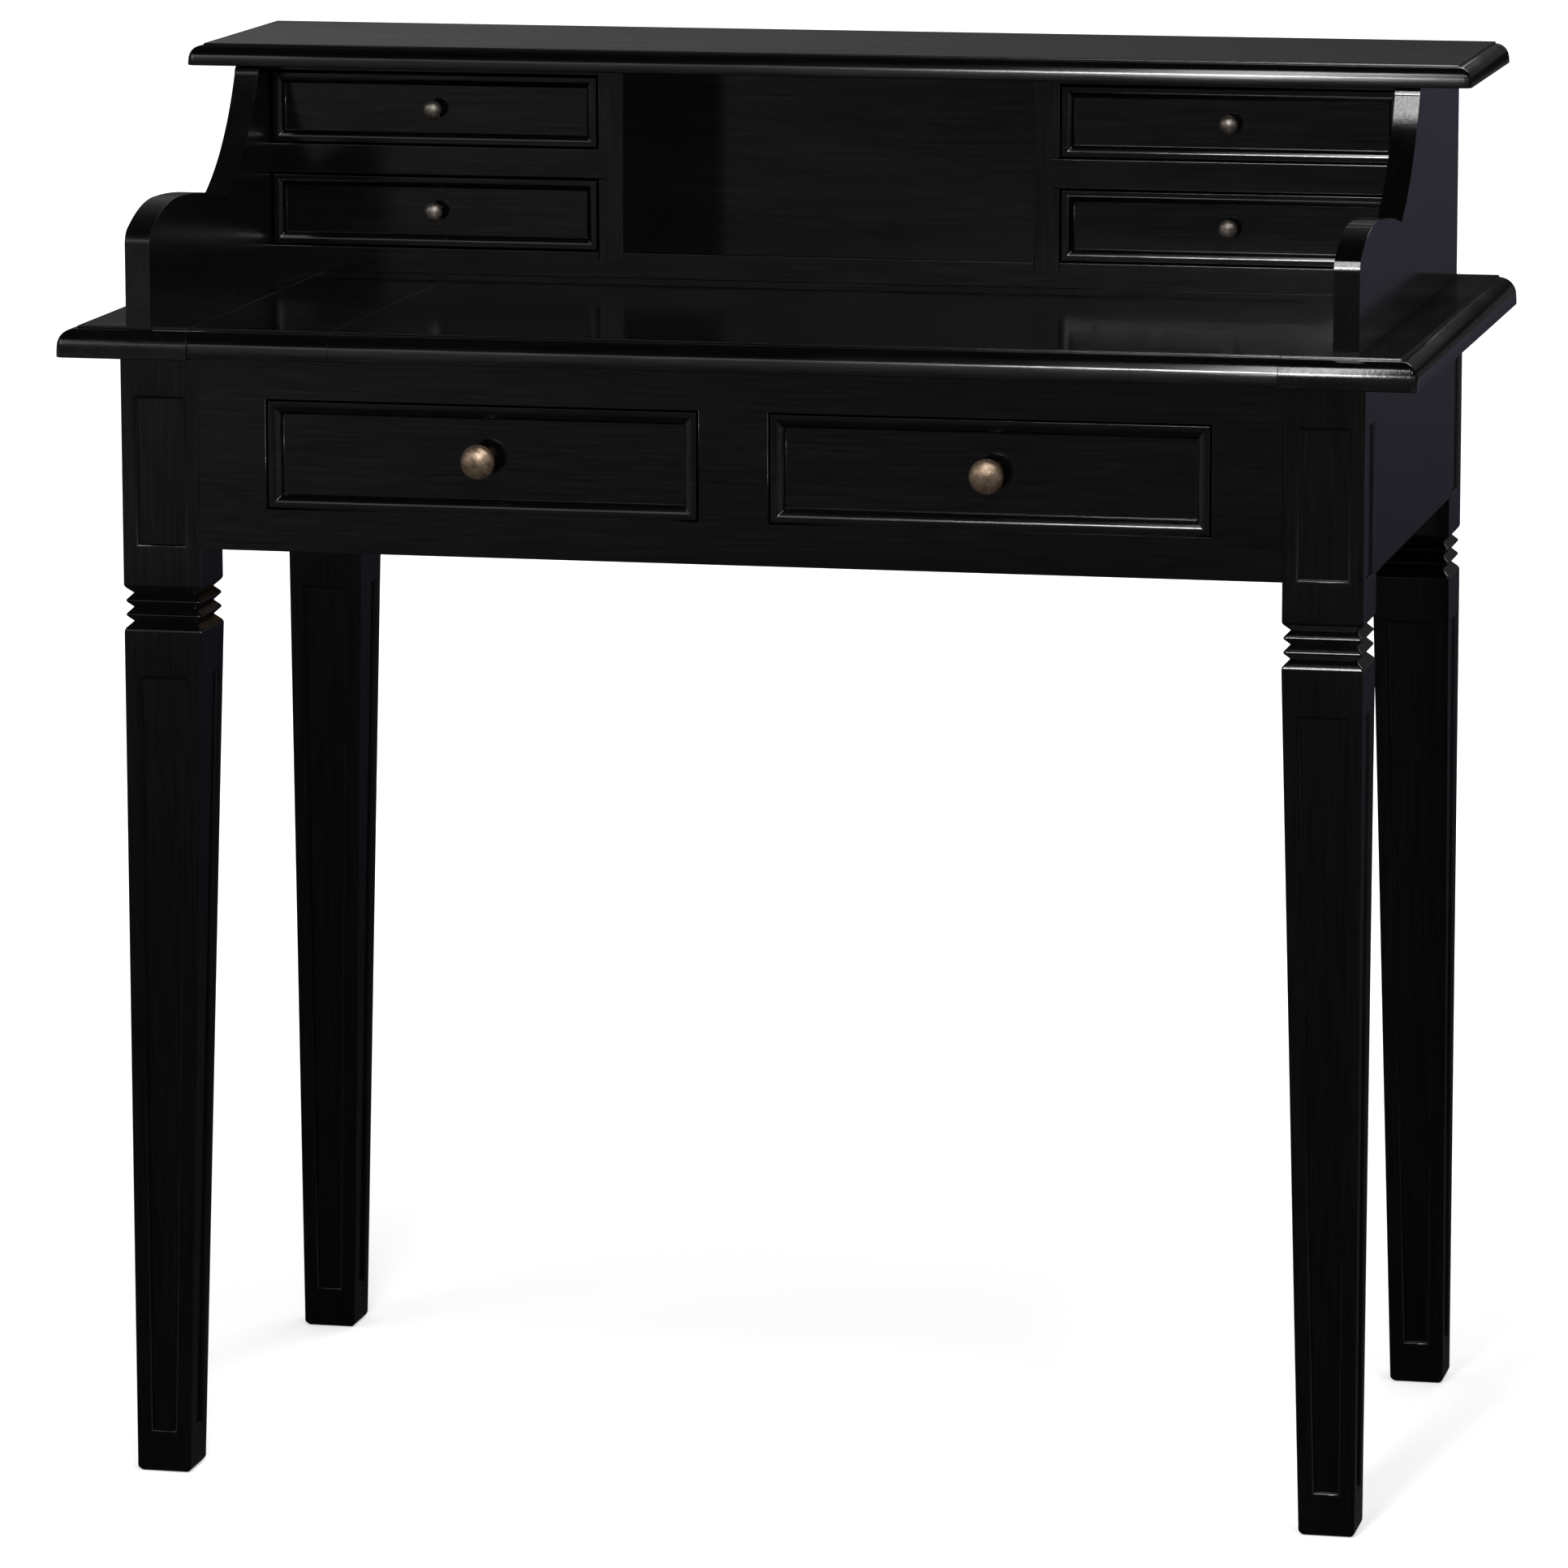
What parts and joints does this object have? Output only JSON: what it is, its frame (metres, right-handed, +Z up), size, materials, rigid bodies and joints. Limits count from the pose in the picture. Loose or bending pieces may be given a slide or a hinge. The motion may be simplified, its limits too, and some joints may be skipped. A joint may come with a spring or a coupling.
{
  "type": "writing desk with low hutch",
  "caption": "Small black writing desk on ringed, tapered square legs, with drawers in the apron and a low hutch of small drawers and a pigeonhole between gallery sides.",
  "frame": {"origin": "centre of the footprint at floor level, under the middle of the overall bounding box", "axes": "+Z up, +X to the right of someone facing the desk, +Y to its back; the front faces -Y"},
  "size_m": [0.88, 0.47, 0.917],
  "materials": {
    "black_lacquer": "semi-gloss black lacquer over solid wood, with a faint brushed grain",
    "bare_wood": "plain sanded wood of the drawer boxes and hidden rails",
    "antique_bronze": "darkened antique bronze, satin"
  },
  "bodies": {
    "desk": {"apron_back": "black_lacquer", "apron_bottom_rail": "black_lacquer", "apron_side_left": "black_lacquer", "apron_side_right": "black_lacquer", "apron_stile_centre": "black_lacquer", "apron_stiles_end": "black_lacquer", "apron_top_rail": "black_lacquer", "desk_top_end_left": "black_lacquer", "desk_top_end_right": "black_lacquer", "desk_top_panel": "black_lacquer", "dust_boards": "bare_wood", "frieze_strips": "black_lacquer", "hutch_back": "black_lacquer", "hutch_divider_left": "black_lacquer", "hutch_divider_right": "black_lacquer", "hutch_floor": "black_lacquer", "hutch_rail_left": "black_lacquer", "hutch_rail_right": "black_lacquer", "hutch_side_left": "black_lacquer", "hutch_side_right": "black_lacquer", "hutch_top": "black_lacquer", "kickers": "bare_wood", "leg_back_left": "black_lacquer", "leg_back_right": "black_lacquer", "leg_front_left": "black_lacquer", "leg_front_right": "black_lacquer", "runner_centre": "bare_wood", "runners_outer": "bare_wood", "top_buttons": "bare_wood"},
    "drawer_left": {"drawer_left_back": "bare_wood", "drawer_left_bottom": "bare_wood", "drawer_left_front": "black_lacquer", "drawer_left_knob": "antique_bronze", "drawer_left_sides": "bare_wood"},
    "small_drawer_lower_left": {"small_drawer_lower_left_back": "bare_wood", "small_drawer_lower_left_bottom": "bare_wood", "small_drawer_lower_left_front": "black_lacquer", "small_drawer_lower_left_knob": "antique_bronze", "small_drawer_lower_left_sides": "bare_wood"},
    "small_drawer_upper_left": {"small_drawer_upper_left_back": "bare_wood", "small_drawer_upper_left_bottom": "bare_wood", "small_drawer_upper_left_front": "black_lacquer", "small_drawer_upper_left_knob": "antique_bronze", "small_drawer_upper_left_sides": "bare_wood"},
    "drawer_right": {"drawer_right_back": "bare_wood", "drawer_right_bottom": "bare_wood", "drawer_right_front": "black_lacquer", "drawer_right_knob": "antique_bronze", "drawer_right_sides": "bare_wood"},
    "small_drawer_lower_right": {"small_drawer_lower_right_back": "bare_wood", "small_drawer_lower_right_bottom": "bare_wood", "small_drawer_lower_right_front": "black_lacquer", "small_drawer_lower_right_knob": "antique_bronze", "small_drawer_lower_right_sides": "bare_wood"},
    "small_drawer_upper_right": {"small_drawer_upper_right_back": "bare_wood", "small_drawer_upper_right_bottom": "bare_wood", "small_drawer_upper_right_front": "black_lacquer", "small_drawer_upper_right_knob": "antique_bronze", "small_drawer_upper_right_sides": "bare_wood"}
  },
  "joints": [
    {"name": "drawer_left_slide", "type": "slide", "parent": "desk", "child": "drawer_left", "axis": [0, -1, 0], "range_m": [0, 0.29]},
    {"name": "small_drawer_lower_left_slide", "type": "slide", "parent": "desk", "child": "small_drawer_lower_left", "axis": [0, -1, 0], "range_m": [0, 0.1]},
    {"name": "small_drawer_upper_left_slide", "type": "slide", "parent": "desk", "child": "small_drawer_upper_left", "axis": [0, -1, 0], "range_m": [0, 0.1]},
    {"name": "drawer_right_slide", "type": "slide", "parent": "desk", "child": "drawer_right", "axis": [0, -1, 0], "range_m": [0, 0.29]},
    {"name": "small_drawer_lower_right_slide", "type": "slide", "parent": "desk", "child": "small_drawer_lower_right", "axis": [0, -1, 0], "range_m": [0, 0.1]},
    {"name": "small_drawer_upper_right_slide", "type": "slide", "parent": "desk", "child": "small_drawer_upper_right", "axis": [0, -1, 0], "range_m": [0, 0.1]}
  ]
}
